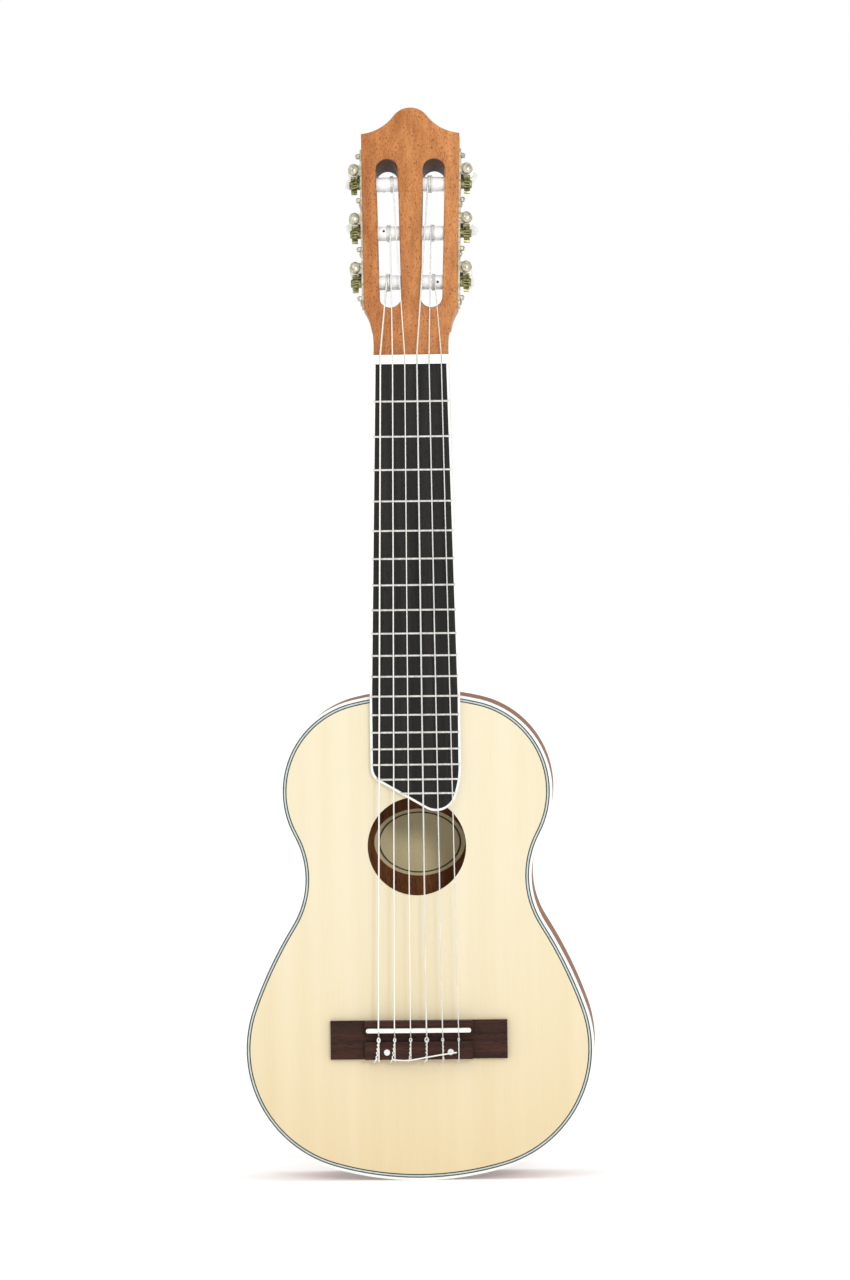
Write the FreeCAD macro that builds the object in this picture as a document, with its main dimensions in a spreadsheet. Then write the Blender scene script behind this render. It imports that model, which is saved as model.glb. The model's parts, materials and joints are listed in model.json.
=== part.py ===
import FreeCAD, Part
import math
import os
from FreeCAD import Placement, Rotation, Vector

# A guitalele: a small six-string nylon guitar with a 433 mm scale and a slotted headstock.
# Drawing frame: x across (treble side +x), y from the front of the soundboard backwards, z up the neck,
# z = 0 at the tail. SEAT then moves every sub-part so that y = 0 lies at half the depth of the body.

os.makedirs("parts", exist_ok=True)
doc = FreeCAD.newDocument("guitalele")

# ---------------------------------------------------------------- driving dimensions
DIMENSIONS = [
    ("scale_length", 433.0, "nut to octave twice over"),
    ("nut_z", 533.5, "front edge of the nut"),
    ("fret_count", 18, "frets"),
    ("body_depth", 70.0, "outside, front to back"),
    ("top_thick", 2.5, "soundboard"),
    ("back_thick", 2.5, "back plate"),
    ("rib_thick", 2.2, "sides"),
    ("lining_wide", 5.0, "linings across"),
    ("lining_tall", 9.0, "linings, front to back"),
    ("binding_wide", 1.65, "body binding across"),
    ("binding_tall", 3.5, "body binding, front to back"),
    ("line_dark", 0.8, "dark purfling line"),
    ("line_light", 0.9, "light purfling line"),
    ("purfling_tall", 1.4, "purfling, front to back"),
    ("hole_radius", 32.2, "soundhole"),
    ("hole_z", 218.7, "soundhole centre"),
    ("board_thick", 5.0, "fretboard"),
    ("board_half_nut", 24.5, "half width of the bound fretboard at the nut"),
    ("board_half_body", 29.4, "half width of the bound fretboard at the body"),
    ("board_binding", 1.45, "fretboard binding across"),
    ("fret_radius", 0.8, "fret crown"),
    ("tang_wide", 0.5, "fret tang"),
    ("tang_deep", 1.6, "fret tang"),
    ("nut_thick", 6.0, "nut along the neck"),
    ("nut_tall", 7.6, "nut above the neck"),
    ("head_tilt", 14.0, "degrees"),
    ("head_thick", 16.0, "headstock"),
    ("head_taper", 0.75, "degrees, sides of the headstock"),
    ("slot_wide", 14.3, "headstock slots"),
    ("slot_low", 33.2, "lower end of the slots, up the face"),
    ("slot_high", 134.8, "upper end of the slots, up the face"),
    ("tuner_first", 51.6, "lowest roller, up the face"),
    ("tuner_pitch", 33.3, "between rollers"),
    ("axle_deep", 7.5, "roller axis behind the face"),
    ("roller_radius", 4.8, "string roller"),
    ("bore_play", 0.05, "radial play of the rollers in the wood"),
    ("core_radius", 1.9, "steel core of a roller"),
    ("plate_thick", 1.2, "tuner side plate"),
    ("plate_tall", 14.4, "tuner side plate, front to back"),
    ("worm_out", 5.3, "worm axis outside the headstock's side"),
    ("worm_up", 8.7, "worm axis above the roller axis"),
    ("shaft_radius", 1.5, "worm shaft"),
    ("gear_teeth", 14, "teeth"),
    ("gear_module", 0.8, "tooth module"),
    ("gear_wide", 3.8, "gear"),
    ("bridge_wide", 115.6, "bridge across"),
    ("bridge_low", 79.8, "tail edge of the bridge"),
    ("bridge_tall", 25.3, "bridge along the strings"),
    ("bridge_wing", 3.6, "wings above the soundboard"),
    ("bridge_block", 8.5, "tie block above the soundboard"),
    ("block_wide", 70.4, "tie block across"),
    ("saddle_z", 98.9, "middle of the saddle"),
    ("saddle_thick", 3.0, "saddle along the strings"),
    ("saddle_wide", 68.5, "saddle across"),
    ("saddle_top", 12.0, "saddle above the soundboard"),
    ("string_pitch_nut", 7.94, "between strings at the nut"),
    ("string_pitch_saddle", 10.45, "between strings at the saddle"),
    ("button_back", 30.0, "middle of a button behind the face"),
]
sheet = doc.addObject("Spreadsheet::Sheet", "dimensions")
for row, (alias, value, note) in enumerate(DIMENSIONS, start=1):
    sheet.set("A%d" % row, alias)
    sheet.set("B%d" % row, str(value))
    sheet.set("C%d" % row, note)
    sheet.setAlias("B%d" % row, alias)
doc.recompute()


def dim(alias):
    """The value of one cell of the sheet."""
    return float(getattr(sheet, alias))


SEAT = Placement(Vector(0, -dim("body_depth") / 2, 0), Rotation())
nodes = []


def seat(obj, label):
    """Label a finished sub-part, put it in the object's frame and list it for writing out."""
    obj.Label = label
    obj.Placement = SEAT.multiply(obj.Placement)
    nodes.append(obj)
    return obj


def bind(obj, **expressions):
    """Bind properties to the sheet: bind(box, Length="nut_thick")."""
    for name, expression in expressions.items():
        for alias, _, _ in DIMENSIONS:
            expression = expression.replace("<" + alias + ">", "dimensions." + alias)
        obj.setExpression(name, expression)
    return obj


def computed(label, shape, placement=None):
    """A sub-part whose shape is worked out here, because no feature makes it."""
    obj = doc.addObject("Part::Feature", label)
    obj.Shape = shape
    if placement is not None:
        obj.Placement = placement.multiply(obj.Placement)
    return seat(obj, label)


def box(name, corner, **sizes):
    """A bound box with one corner at a point."""
    obj = bind(doc.addObject("Part::Box", name), **sizes)
    obj.Placement = Placement(Vector(*corner), Rotation())
    return obj


def solids_of(shapes):
    """One compound of separate solids."""
    return Part.Compound([solid for shape in shapes for solid in shape.Solids])


# ---------------------------------------------------------------- body outline
# Half of the outline as tangent arcs from the tail's middle:
# radius (minus where hollow) and turn in degrees.
# A last arc, centred on the middle line, closes it under the fretboard.
BODY_ARCS = [(200.2, 16.3), (81.2, 93.3), (282.6, 12.4), (-56.9, -60.4), (61.4, 104.9)]


def half_outline(inset):
    """Edges of the right half, inset from the outside, from the tail's middle to the top's middle."""
    x, z, heading = 0.0, inset, 0.0
    edges = []
    for radius, turn in BODY_ARCS:
        radius -= inset
        turn = math.radians(turn)
        centre = Vector(x - radius * math.sin(heading), 0, z + radius * math.cos(heading))
        start = Vector(x, 0, z)
        points = [centre + Vector(math.sin(a), 0, -math.cos(a)) * radius
                  for a in (heading + turn / 2, heading + turn)]
        edges.append(Part.Arc(start, points[0], points[1]).toShape())
        heading += turn
        x, z = points[1].x, points[1].z
    radius = x / math.sin(heading)
    centre = Vector(0, 0, z + radius * math.cos(heading))
    middle = (heading + math.pi) / 2
    over = centre + Vector(math.sin(middle), 0, -math.cos(middle)) * radius
    edges.append(Part.Arc(Vector(x, 0, z), over, centre + Vector(0, 0, radius)).toShape())
    return edges


def outline_face(inset):
    """The whole body outline, inset, as a face at y = 0."""
    right = half_outline(inset)
    left = [edge.mirror(Vector(0, 0, 0), Vector(1, 0, 0)) for edge in right]
    return Part.Face(Part.Wire(Part.sortEdges(right + left)[0]))


def slab(inset, front, back):
    """The body outline as a solid between two depths."""
    face = outline_face(inset)
    face.translate(Vector(0, front, 0))
    return face.extrude(Vector(0, back - front, 0))


def ring(outer, inner, front, back):
    """A band that follows the outline between two insets."""
    return slab(outer, front, back).cut(slab(inner, front - 1, back + 1))


BODY_TOP = half_outline(0)[-1].Vertexes[-1].Point.z
FAR = 1000.0


def half_space(side):
    """Everything on one side of the middle line: -1 bass, +1 treble."""
    return Part.makeBox(FAR, FAR, FAR, Vector(0 if side > 0 else -FAR, -FAR / 2, -FAR / 4))


depth = dim("body_depth")
top_thick = dim("top_thick")
back_from = depth - dim("back_thick")
binding_wide = dim("binding_wide")
binding_tall = dim("binding_tall")
line_dark = dim("line_dark")
line_light = dim("line_light")
purfling_wide = 2 * line_dark + line_light
purfling_tall = dim("purfling_tall")
rib_thick = dim("rib_thick")

# Soundboard: a plate with a ledge all round for the purfling, and the soundhole.
hole = Part.makeCylinder(dim("hole_radius"), 3 * top_thick,
                         Vector(0, -top_thick, dim("hole_z")), Vector(0, 1, 0))
top_plate = slab(binding_wide + purfling_wide, 0, top_thick).fuse(slab(binding_wide, purfling_tall,
                                                                       top_thick))
computed("soundboard", top_plate.cut(hole).removeSplitter())
computed("back_plate", slab(binding_wide, back_from, depth))

computed("top_binding", ring(0, binding_wide, 0, binding_tall))
computed("back_binding", ring(0, binding_wide, depth - binding_tall, depth))
inset = binding_wide
dark_lines = [ring(inset, inset + line_dark, 0, purfling_tall)]
inset += line_dark
light_line = ring(inset, inset + line_light, 0, purfling_tall)
inset += line_light
dark_lines.append(ring(inset, inset + line_dark, 0, purfling_tall))
computed("purfling_dark_lines", solids_of(dark_lines))
computed("purfling_light_line", light_line)

# Sides: bent in two halves that meet at the tail and under the neck.
ribs = ring(0, rib_thick, binding_tall, depth - binding_tall)
ribs = ribs.fuse(ring(binding_wide, rib_thick, top_thick, back_from)).removeSplitter()
computed("side_bass", ribs.common(half_space(-1)))
computed("side_treble", ribs.common(half_space(1)))

# Blocks and linings inside.
inside = slab(rib_thick, top_thick, back_from)
NECK_BLOCK = (54.0, 42.0)
TAIL_BLOCK = (60.0, 14.0)
neck_block = inside.common(Part.makeBox(NECK_BLOCK[0], depth, NECK_BLOCK[1],
                                        Vector(-NECK_BLOCK[0] / 2, 0, BODY_TOP - NECK_BLOCK[1])))
tail_block = inside.common(Part.makeBox(TAIL_BLOCK[0], depth, TAIL_BLOCK[1] + rib_thick,
                                        Vector(-TAIL_BLOCK[0] / 2, 0, 0)))
computed("neck_block", neck_block)
computed("tail_block", tail_block)
lining_in = rib_thick + dim("lining_wide")
lining_tall = dim("lining_tall")


def linings(front):
    """Two strips that follow the sides between the blocks."""
    strip = ring(rib_thick, lining_in, front, front + lining_tall).cut(neck_block).cut(tail_block)
    return solids_of([strip])


computed("top_linings", linings(top_thick))
computed("back_linings", linings(back_from - lining_tall))

# Braces under the soundboard and on the back: bars that end at the linings.
bracing_room = slab(lining_in, 0, depth)


def bar(middle_z, thick, front, back):
    """A bar across the whole body at one height."""
    cross = Part.makeBox(FAR / 2, back - front, thick, Vector(-FAR / 4, front, middle_z - thick / 2))
    return cross.common(bracing_room)


BAR_THICK = 7.0
BAR_TALL = 13.0
computed("transverse_braces", solids_of([bar(z, BAR_THICK, top_thick, top_thick + BAR_TALL)
                                         for z in (262.0, 175.0)]))
computed("back_braces", solids_of([bar(z, BAR_THICK, back_from - BAR_TALL, back_from)
                                   for z in (62.0, 150.0, 262.0)]))
PLATE_PAD = 1.6
plate_box = box("bridge_plate", (-60.0, top_thick, dim("bridge_low") - 3.0))
plate_box.Length = 120.0
plate_box.Width = PLATE_PAD
bind(plate_box, Height="<bridge_tall> + 6")
doc.recompute()
seat(plate_box, "bridge_plate")
FAN_LONG = 126.0
FAN_FOOT = 34.0
FAN_STEP = 22.0
FAN_TURN = 5.0
fans = []
for place in (-2, -1, 0, 1, 2):
    stick = Part.makeBox(5.0, 5.0, FAN_LONG, Vector(-2.5, top_thick, 0))
    stick.rotate(Vector(0, 0, FAN_LONG), Vector(0, 1, 0), -FAN_TURN * place)
    stick.translate(Vector(FAN_STEP / 2 * place, 0, FAN_FOOT))
    pad = Part.makeBox(120.0, PLATE_PAD, dim("bridge_tall") + 6, Vector(-60.0, top_thick,
                                                                        dim("bridge_low") - 3))
    fans.append(stick.cut(pad))
computed("fan_braces", solids_of(fans))

# Paper label glued to the back under the soundhole.
LABEL_HALF = (30.1, 22.2)
LABEL_THICK = 0.2
oval = Part.Ellipse(Vector(0, back_from - LABEL_THICK, dim("hole_z") - 1.0), *LABEL_HALF).toShape()
oval.rotate(Vector(0, back_from - LABEL_THICK, dim("hole_z") - 1.0), Vector(1, 0, 0), 90)
computed("label", Part.Face(Part.Wire(oval)).extrude(Vector(0, LABEL_THICK, 0)))

# ---------------------------------------------------------------- fretboard
nut_z = dim("nut_z")
board_thick = dim("board_thick")
half_nut = dim("board_half_nut")
half_body = dim("board_half_body")
octave_z = nut_z - dim("scale_length") / 2


def board_outline(top):
    """The bound fretboard's outline: it tapers to the octave and ends on a slant with a round tip."""
    grow = (half_body - half_nut) / (nut_z - octave_z)
    half_top = half_nut - grow * (top - nut_z)
    right = [Vector(half_body, 0, 274.0), Vector(28.5, 0, 260.5), Vector(26.0, 0, 251.5)]
    tip = [Vector(14.0, 0, 241.9), Vector(7.0, 0, 243.3)]
    left = [Vector(-22.3, 0, 260.3), Vector(-27.4, 0, 264.4), Vector(-half_body, 0, 270.0)]
    corners = [Vector(-half_body, 0, octave_z), Vector(-half_top, 0, top),
               Vector(half_top, 0, top), Vector(half_body, 0, octave_z)]
    edges = [Part.Arc(right[0], right[1], right[2]),
             Part.Arc(right[2], tip[0], tip[1]),
             Part.LineSegment(tip[1], left[0]),
             Part.Arc(left[0], left[1], left[2]),
             Part.LineSegment(left[2], corners[0]),
             Part.LineSegment(corners[0], corners[1]),
             Part.LineSegment(corners[1], corners[2]),
             Part.LineSegment(corners[2], corners[3]),
             Part.LineSegment(corners[3], right[0])]
    return Part.Wire([edge.toShape() for edge in edges])


def board_prism(wire, front, back):
    """The fretboard outline as a solid between two depths, ended at the nut."""
    face = Part.Face(wire)
    face.translate(Vector(0, front, 0))
    whole = face.extrude(Vector(0, back - front, 0))
    return whole.common(Part.makeBox(FAR, FAR, nut_z, Vector(-FAR / 2, -FAR / 2, 0)))


board_binding = dim("board_binding")
bound_wire = board_outline(nut_z + board_binding)
wood_wire = bound_wire.makeOffset2D(-board_binding)
wood = board_prism(wood_wire, -board_thick, 0)
bound = board_prism(bound_wire, -board_thick, 0)


def fret_z(number):
    """The place of a fret on the scale."""
    return nut_z - dim("scale_length") * (1 - 2 ** (-number / 12))


fret_radius = dim("fret_radius")
tang_wide = dim("tang_wide")
tang_deep = dim("tang_deep")
fret_room = board_prism(bound_wire.makeOffset2D(-0.7), -board_thick - 2 * fret_radius, 0)
frets = []
tangs = []
for number in range(1, int(dim("fret_count")) + 1):
    z = fret_z(number)
    crown = Part.makeCylinder(fret_radius, FAR / 2, Vector(-FAR / 4, -board_thick, z), Vector(1, 0, 0))
    crown = crown.common(Part.makeBox(FAR, fret_radius, FAR, Vector(-FAR / 2,
                                                                    -board_thick - fret_radius, 0)))
    tang = Part.makeBox(FAR / 2, tang_deep, tang_wide, Vector(-FAR / 4, -board_thick, z - tang_wide / 2))
    tang = tang.common(wood)
    tangs.append(tang)
    frets.append(crown.common(fret_room).fuse(tang).removeSplitter())
computed("fretboard", wood.cut(Part.Compound(tangs)))
computed("fretboard_binding", bound.cut(wood))
computed("frets", solids_of(frets))

# ---------------------------------------------------------------- neck and heel
nut_thick = dim("nut_thick")
neck_top = nut_z + nut_thick
tilt = dim("head_tilt")
HEAD = Placement(Vector(0, -1.0, nut_z + 5.0), Rotation(Vector(1, 0, 0), -tilt))


def neck_section(half, deep, power, place):
    """A closed D shape: flat in front, a rounded back that gets squarer with power."""
    points = []
    steps = 16
    for step in range(steps + 1):
        angle = math.pi * step / steps
        cosine, sine = math.cos(angle), math.sin(angle)
        across = math.copysign(abs(cosine) ** (2 / power), cosine) * half
        points.append(place.multVec(Vector(across, abs(sine) ** (2 / power) * deep, 0)))
    curve = Part.BSplineCurve()
    curve.interpolate(points)
    return Part.Wire([curve.toShape(), Part.LineSegment(points[-1], points[0]).toShape()])


def level(z):
    """A section plane across the neck."""
    return Placement(Vector(0, 0, z), Rotation())


HEEL_LOW = 312.0
shaft = Part.makeLoft([neck_section(half_body, 17.5, 2.3, level(HEEL_LOW)),
                       neck_section(half_nut, 15.0, 2.3, level(neck_top))], True)
heel_levels = [(8.0, 66.0, 27.5), (16.0, 44.0, 23.0), (24.0, 32.0, 18.5), (36.0, 24.0, 15.0),
               (52.0, 19.0, 12.5), (depth - 1.0, 17.0, 11.5)]
heel_wires = []
for back, reach, half in heel_levels:
    start = Vector(-half, back, HEEL_LOW)
    end = Vector(half, back, HEEL_LOW)
    steps = 12
    points = [Vector(half * math.cos(math.pi * k / steps), back,
                     HEEL_LOW + reach * math.sin(math.pi * k / steps)) for k in range(steps + 1)]
    curve = Part.BSplineCurve()
    curve.interpolate(points)
    heel_wires.append(Part.Wire([curve.toShape(), Part.LineSegment(start, end).toShape()]))
heel = Part.makeLoft(heel_wires, True)
neck = shaft.fuse(heel).removeSplitter().cut(slab(0, -1, depth + 1))
computed("neck", neck)

# ---------------------------------------------------------------- headstock
# Drawn flat in its own frame: x across, y behind the face, z up the face from the nut.
head_thick = dim("head_thick")
taper = dim("head_taper")
SIDE_HALF = 30.3
SHOULDER_LOW = 20.0
SHOULDER_LOW_HALF = 25.9
SHOULDER_HIGH = 33.5
CROWN_CORNER = 151.3
CROWN_TOP = 169.0


def side_half(up):
    """Half the width of the headstock's straight sides."""
    return SIDE_HALF + up * math.tan(math.radians(taper))


def mirrored(point):
    """The same point on the bass side."""
    return Vector(-point.x, point.y, point.z)


shoulder = [Vector(SHOULDER_LOW_HALF, 0, SHOULDER_LOW), Vector(27.1, 0, 25.6),
            Vector(side_half(SHOULDER_HIGH), 0, SHOULDER_HIGH)]
crown = [Vector(side_half(CROWN_CORNER), 0, CROWN_CORNER), Vector(21.2, 0, 154.6), Vector(11.0, 0, 163.4)]
bass_shoulder = [mirrored(point) for point in shoulder]
bass_crown = [mirrored(point) for point in crown]
head_edges = [Part.Arc(*shoulder), Part.LineSegment(shoulder[2], crown[0]), Part.Arc(*crown),
              Part.Arc(crown[2], Vector(0, 0, CROWN_TOP), bass_crown[2]),
              Part.Arc(bass_crown[2], bass_crown[1], bass_crown[0]),
              Part.LineSegment(bass_crown[0], bass_shoulder[2]),
              Part.Arc(bass_shoulder[2], bass_shoulder[1], bass_shoulder[0]),
              Part.LineSegment(bass_shoulder[0], shoulder[0])]
blank = Part.Face(Part.Wire([edge.toShape() for edge in head_edges])).extrude(Vector(0, head_thick, 0))

slot_round = dim("slot_wide") / 2
slot_low = dim("slot_low") + slot_round
slot_high = dim("slot_high") - slot_round
SLOT_MIDDLE_LOW = 13.43
SLOT_MIDDLE_HIGH = 15.44
# The upper end of a slot slopes, so its mouth behind is this much shorter.
SLOT_SLOPE = 6.0
for side in (-1, 1):
    low = Vector(side * SLOT_MIDDLE_LOW, -1, slot_low)
    high = Vector(side * SLOT_MIDDLE_HIGH, -1, slot_high)
    across = (high - low).cross(Vector(0, 1, 0)).normalize() * slot_round
    along = (high - low).normalize() * slot_round
    upwards = (high - low).normalize()
    mouths = []
    for back, shorter in ((-1.0, 0.0), (head_thick + 1.0, SLOT_SLOPE)):
        foot = Vector(low.x, back, low.z)
        top = Vector(high.x, back, high.z) - upwards * shorter
        outline = [Part.LineSegment(foot + across, top + across),
                   Part.Arc(top + across, top + along, top - across),
                   Part.LineSegment(top - across, foot - across),
                   Part.Arc(foot - across, foot - along, foot + across)]
        mouths.append(Part.Wire([edge.toShape() for edge in outline]))
    blank = blank.cut(Part.makeLoft(mouths, True, True))

EASED = 0.7
edges = []
for edge in blank.Edges:
    heights = [vertex.Point.z for vertex in edge.Vertexes]
    depths = [vertex.Point.y for vertex in edge.Vertexes]
    on_face = max(depths) < 0.01 or min(depths) > head_thick - 0.01
    if on_face and max(heights) > SHOULDER_LOW + 0.01:
        edges.append(edge)
blank = blank.makeChamfer(EASED, edges)

face_step = 0.75
head_sections = [neck_section(half_nut, 15.0 + face_step, 2.3,
                              Placement(Vector(0, -face_step, neck_top), Rotation()))]
for up, half, deep, power in ((9.0, 24.4, 15.6, 3.0), (SHOULDER_LOW, SHOULDER_LOW_HALF, head_thick, 7.0)):
    head_sections.append(neck_section(half, deep, power, HEAD.multiply(Placement(Vector(0, 0, up),
                                                                                 Rotation()))))
throat = Part.makeLoft(head_sections, True)
blank.Placement = HEAD
head_wood = blank.fuse(throat).removeSplitter()

# Frames of the two tuner rows: x outwards from the wood's side, y behind the face, z up the side.
TREBLE_ROW = HEAD.multiply(Placement(Vector(SIDE_HALF, 0, 0), Rotation(Vector(0, 1, 0), taper)))
BASS_ROW = HEAD.multiply(Placement(Vector(-SIDE_HALF, 0, 0), Rotation(Vector(0, 1, 0), -taper)))
ROWS = {1: TREBLE_ROW, -1: BASS_ROW}
axle_deep = dim("axle_deep")
roller_radius = dim("roller_radius")
ROLLER_LONG = 28.4
SCREWS_UP = (38.0, 71.0, 104.5, 138.0)
SCREW_SHANK = (0.95, 6.0)
SCREW_DEEP = 8.0
bores = []
for row in ROWS:
    frame = ROWS[row]
    for place in range(3):
        up = dim("tuner_first") + place * dim("tuner_pitch")
        bore = Part.makeCylinder(roller_radius + dim("bore_play"), ROLLER_LONG + 1.4,
                                 Vector(row, axle_deep, up), Vector(-row, 0, 0))
        bore.Placement = frame.multiply(bore.Placement)
        bores.append(bore)
    for up in SCREWS_UP:
        pilot = Part.makeCylinder(SCREW_SHANK[0], SCREW_SHANK[1] + 1, Vector(row, SCREW_DEEP, up),
                                  Vector(-row, 0, 0))
        pilot.Placement = frame.multiply(pilot.Placement)
        bores.append(pilot)
computed("headstock", head_wood.cut(Part.Compound(bores)))

# ---------------------------------------------------------------- machine heads
plate_thick = dim("plate_thick")
plate_tall = dim("plate_tall")
core_radius = dim("core_radius")
worm_out = dim("worm_out")
worm_up = dim("worm_up")
shaft_radius = dim("shaft_radius")
gear_wide = dim("gear_wide")
module = dim("gear_module")
teeth = int(dim("gear_teeth"))
PLATE_FRONT = 0.8
PLATE_LOW = 38.0
PLATE_HIGH = 138.0
LOBE = 4.6
TAB_ROUND = 3.6
TAB_THICK = 1.2
TIP_HIGH = 0.7
ROOT_DEEP = 0.9
PLAY = 0.05


def rod(radius, start, end, across, up, lengthways):
    """A cylinder along x or y of a row's frame; across and up place its axis."""
    if lengthways == "x":
        return Part.makeCylinder(radius, end - start, Vector(start, across, up), Vector(1, 0, 0))
    return Part.makeCylinder(radius, end - start, Vector(across, start, up), Vector(0, 1, 0))


def side_plate():
    """One treble-side plate with its lobed ends, bearing tabs and holes."""
    middle = PLATE_FRONT + plate_tall / 2
    plate = Part.makeBox(plate_thick, plate_tall, PLATE_HIGH - PLATE_LOW, Vector(0, PLATE_FRONT, PLATE_LOW))
    for up in (PLATE_LOW, PLATE_HIGH):
        plate = plate.fuse(rod(LOBE, 0, plate_thick, middle, up, "x"))
    for place in range(3):
        up = dim("tuner_first") + place * dim("tuner_pitch")
        for front in (PLATE_FRONT, PLATE_FRONT + plate_tall - TAB_THICK):
            tab = Part.makeBox(worm_out, TAB_THICK, 2 * TAB_ROUND, Vector(0, front,
                                                                          up + worm_up - TAB_ROUND))
            tab = tab.fuse(rod(TAB_ROUND, front, front + TAB_THICK, worm_out, up + worm_up, "y"))
            plate = plate.fuse(tab)
        plate = plate.cut(rod(shaft_radius + PLAY, 0, depth, worm_out, up + worm_up, "y"))
        plate = plate.cut(rod(core_radius + PLAY, -1, plate_thick + 1, axle_deep, up, "x"))
    for up in SCREWS_UP:
        plate = plate.cut(rod(SCREW_SHANK[0], -1, plate_thick + 1, SCREW_DEEP, up, "x"))
    return plate.removeSplitter()


SCREW_HEAD = (2.1, 1.1)
SLOT_CUT = 0.5


def plate_screw(up):
    """A round-headed slotted wood screw."""
    head = Part.makeSphere(SCREW_HEAD[0] * 1.25, Vector(plate_thick - 1.25, SCREW_DEEP, up))
    head = head.common(rod(SCREW_HEAD[0], plate_thick, plate_thick + SCREW_HEAD[1] * 1.5,
                           SCREW_DEEP, up, "x"))
    cut = Part.makeBox(1.0, 6.0, SLOT_CUT, Vector(plate_thick + 0.8, SCREW_DEEP - 3.0, up - SLOT_CUT / 2))
    return head.cut(cut).fuse(rod(SCREW_SHANK[0], -SCREW_SHANK[1], plate_thick, SCREW_DEEP, up, "x"))


gear_radius = module * teeth / 2
worm_radius = worm_up - gear_radius
worm_pitch = math.pi * module
lead = math.atan(worm_pitch / (2 * math.pi * worm_radius))
TOOTH_THICK = 0.95
FLANK = math.tan(math.radians(20.0))


def gear_wheel(phase):
    """A helical gear on its hub and core, with its screw, around x at the origin; phase in degrees."""
    twist = -gear_wide * math.tan(lead) / gear_radius
    wires = []
    for end in (-1, 1):
        points = []
        for tooth in range(teeth):
            turn = 2 * math.pi * tooth / teeth + math.radians(phase) + end * twist / 2
            for radius, half in ((gear_radius - ROOT_DEEP, -(TOOTH_THICK / 2 + ROOT_DEEP * FLANK)),
                                 (gear_radius + TIP_HIGH, -(TOOTH_THICK / 2 - TIP_HIGH * FLANK)),
                                 (gear_radius + TIP_HIGH, TOOTH_THICK / 2 - TIP_HIGH * FLANK),
                                 (gear_radius - ROOT_DEEP, TOOTH_THICK / 2 + ROOT_DEEP * FLANK)):
                angle = turn + half / radius
                points.append(Vector(worm_out + end * gear_wide / 2,
                                     radius * math.sin(angle), radius * math.cos(angle)))
        wires.append(Part.makePolygon(points + points[:1]))
    wheel = Part.makeLoft(wires, True, True)
    hub = rod(core_radius + 1.2, plate_thick + 0.15, worm_out - gear_wide / 2 + 0.1, 0, 0, "x")
    core = rod(core_radius, -12.0, worm_out + gear_wide / 2, 0, 0, "x")
    return wheel.fuse(hub).fuse(core).removeSplitter()


def gear_screw():
    """The slotted screw that holds a gear on its core."""
    start = worm_out + gear_wide / 2
    head = rod(2.7, start, start + 1.2, 0, 0, "x")
    head = head.makeChamfer(0.35, [edge for edge in head.Edges if edge.BoundBox.XMin > start + 1.1])
    return head.cut(Part.makeBox(1.0, 8.0, 0.6, Vector(start + 0.6, -4.0, -0.3)))


WORM_FRONT = 3.0
WORM_BACK = 13.0
SHAFT_FRONT = 0.3
SHAFT_BACK = 24.0
COLLAR = (2.5, 1.6)


def worm_screw():
    """A one-start worm with its shaft and collar, around y at the origin."""
    root = worm_radius - ROOT_DEEP
    foot = root - 0.2
    tip = worm_radius + TIP_HIGH
    low = TOOTH_THICK / 2 + (worm_radius - foot) * FLANK
    high = TOOTH_THICK / 2 - TIP_HIGH * FLANK
    helix = Part.makeHelix(worm_pitch, WORM_BACK - WORM_FRONT - 2 * low - 0.2, foot)
    profile = Part.makePolygon([Vector(foot, 0, -low), Vector(tip, 0, -high), Vector(tip, 0, high),
                                Vector(foot, 0, low), Vector(foot, 0, -low)])
    thread = Part.Wire(helix.Edges).makePipeShell([profile], True, True)
    thread.translate(Vector(0, 0, WORM_FRONT + low + 0.1))
    rear = PLATE_FRONT + plate_tall + 0.15
    core = Part.makeCylinder(root, WORM_BACK - WORM_FRONT, Vector(0, 0, WORM_FRONT))
    core = core.fuse(Part.makeCylinder(shaft_radius, SHAFT_BACK - SHAFT_FRONT, Vector(0, 0, SHAFT_FRONT)))
    core = core.fuse(Part.makeCylinder(COLLAR[0], COLLAR[1], Vector(0, 0, rear))).removeSplitter()
    worm = core.fuse(thread)
    worm.rotate(Vector(0, 0, 0), Vector(1, 0, 0), -90)
    return worm


BUTTON_HALF = (7.3, 8.6, 3.7)
BUTTON_NECK = (2.6, 3.6, 18.2)


def button(turn):
    """An oval button on its neck, around y at the origin, turned about its shaft."""
    squash = FreeCAD.Matrix()
    squash.scale(*BUTTON_HALF)
    oval_body = Part.makeSphere(1.0).transformGeometry(squash)
    oval_body.translate(Vector(0, dim("button_back"), 0))
    neck_back = dim("button_back") - BUTTON_HALF[1] * 0.55
    cone = Part.makeCone(BUTTON_NECK[0], BUTTON_NECK[1], neck_back - BUTTON_NECK[2],
                         Vector(0, BUTTON_NECK[2], 0), Vector(0, 1, 0))
    whole = oval_body.fuse(cone).cut(rod(shaft_radius, 0, SHAFT_BACK, 0, 0, "y"))
    whole.rotate(Vector(0, 0, 0), Vector(0, 1, 0), turn)
    return whole


def on_side(shape, row):
    """The shape as it is on the treble side, or its mirror image on the bass side."""
    return shape if row > 0 else shape.mirror(Vector(0, 0, 0), Vector(1, 0, 0))


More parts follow.
